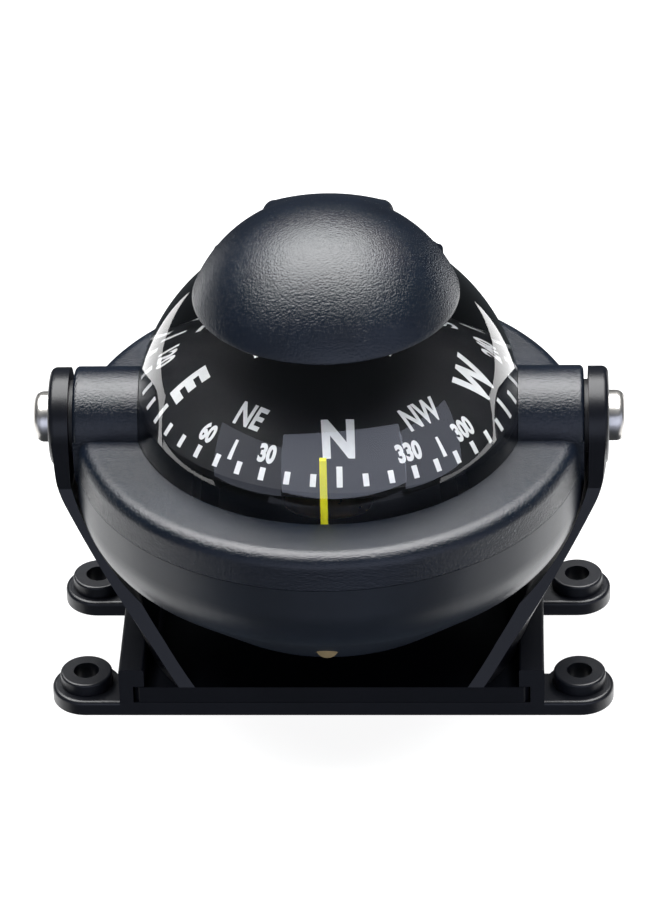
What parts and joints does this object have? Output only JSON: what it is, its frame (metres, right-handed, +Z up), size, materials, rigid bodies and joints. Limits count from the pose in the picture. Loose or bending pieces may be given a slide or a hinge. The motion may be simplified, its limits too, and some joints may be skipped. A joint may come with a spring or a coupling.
{
  "type": "bracket-mounted marine dome compass",
  "caption": "Liquid-filled marine dome compass in a tilting round housing, held by a fork that slides into a screw-down base, with a domed lamp hood.",
  "frame": {"origin": "centre of the base plate's underside", "axes": "+Z up, +X along the tilt axis, -Y is the side the compass is read from"},
  "size_m": [0.1188, 0.1024, 0.1037],
  "materials": {
    "base_plastic": "moulded satin black",
    "yoke_plastic": "moulded satin black",
    "housing_textured": "fine spark-eroded texture, blue-black",
    "bowl_satin": "smooth satin, blue-black",
    "hood_textured": "fine spark-eroded texture, blue-black",
    "stainless": "turned and polished",
    "small_steel": "bright zinc-plated",
    "spring_steel": "rolled strip",
    "brass": "machined",
    "washer_nylon": "nylon",
    "rubber": "moulded",
    "lens_clear": "clear polished acrylic",
    "capsule_black": "smooth black",
    "lubber_yellow": "bright yellow",
    "card_black": "matt black with printed white scale",
    "float_plastic": "smooth",
    "magnet": "sintered",
    "jewel": "polished",
    "board_green": "lacquered",
    "led_red": "clear red"
  },
  "bodies": {
    "base": {"base_plate": "base_plastic"},
    "yoke": {"slide_yoke": "yoke_plastic", "latch_spring": "spring_steel", "latch_rivets": "small_steel", "friction_washers": "washer_nylon"},
    "housing": {"trunnion_inserts": "brass", "upper_housing": "housing_textured", "lower_housing": "bowl_satin", "bottom_screws": "small_steel", "capsule_screws": "small_steel", "lens_dome": "lens_clear", "lens_gasket": "rubber", "capsule_bowl": "capsule_black", "filler_plug": "brass", "filler_seal": "rubber", "diaphragm": "rubber", "diaphragm_ring": "small_steel", "lubber_ring": "capsule_black", "lubber_line": "lubber_yellow", "gimbal_yoke": "capsule_black", "gimbal_pins": "small_steel", "compensator_block": "capsule_black", "compensator_seals": "rubber", "hood_cap": "hood_textured", "hood_strap": "hood_textured", "hood_screws": "small_steel", "lamp_board": "board_green", "lamp_leds": "led_red", "cable_gland": "rubber"},
    "left_screw": {"pivot_screw_left": "stainless"},
    "right_screw": {"pivot_screw_right": "stainless"},
    "gimbal": {"gimbal_ring": "brass", "ring_pins": "small_steel"},
    "carrier": {"pivot_carrier": "capsule_black", "counterweight": "brass", "pivot_pin": "small_steel"},
    "card": {"jewel_cup": "jewel", "compass_card": "card_black", "card_float": "float_plastic", "card_magnets": "magnet"},
    "fore_aft_corrector": {"fore_aft_rod": "brass", "fore_aft_magnet": "magnet"},
    "athwart_corrector": {"athwart_rod": "brass", "athwart_magnet": "magnet"}
  },
  "joints": [
    {"name": "yoke_slide", "type": "slide", "parent": "base", "child": "yoke", "axis": [0, -1, 0], "range_m": [0, 0.05], "deforming": ["latch_spring"]},
    {"name": "housing_tilt", "type": "hinge", "parent": "yoke", "child": "housing", "pos_m": [0, 0, 0.0567], "axis": [1, 0, 0], "range_deg": [-40, 40]},
    {"name": "left_screw_turn", "type": "hinge", "parent": "housing", "child": "left_screw", "pos_m": [-0.055, 0, 0.0567], "axis": [-1, 0, 0], "range_deg": [0, 180]},
    {"name": "right_screw_turn", "type": "hinge", "parent": "housing", "child": "right_screw", "pos_m": [0.055, 0, 0.0567], "axis": [1, 0, 0], "range_deg": [0, 180]},
    {"name": "gimbal_pitch", "type": "hinge", "parent": "housing", "child": "gimbal", "pos_m": [0, 0, 0.0567], "axis": [1, 0, 0], "range_deg": [-7.6, 22.4]},
    {"name": "gimbal_roll", "type": "hinge", "parent": "gimbal", "child": "carrier", "pos_m": [0, 0, 0.0567], "axis": [0, 0.9917, -0.1288], "range_deg": [-17, 13]},
    {"name": "card_turn", "type": "hinge", "parent": "carrier", "child": "card", "pos_m": [0, 0, 0.0567], "axis": [0.0349, 0.1287, 0.9911], "continuous": true},
    {"name": "fore_aft_corrector_turn", "type": "hinge", "parent": "housing", "child": "fore_aft_corrector", "pos_m": [0, -0.01, 0.0259], "axis": [0, -1, 0], "continuous": true},
    {"name": "athwart_corrector_turn", "type": "hinge", "parent": "housing", "child": "athwart_corrector", "pos_m": [-0.01, 0, 0.0215], "axis": [-1, 0, 0], "continuous": true}
  ]
}
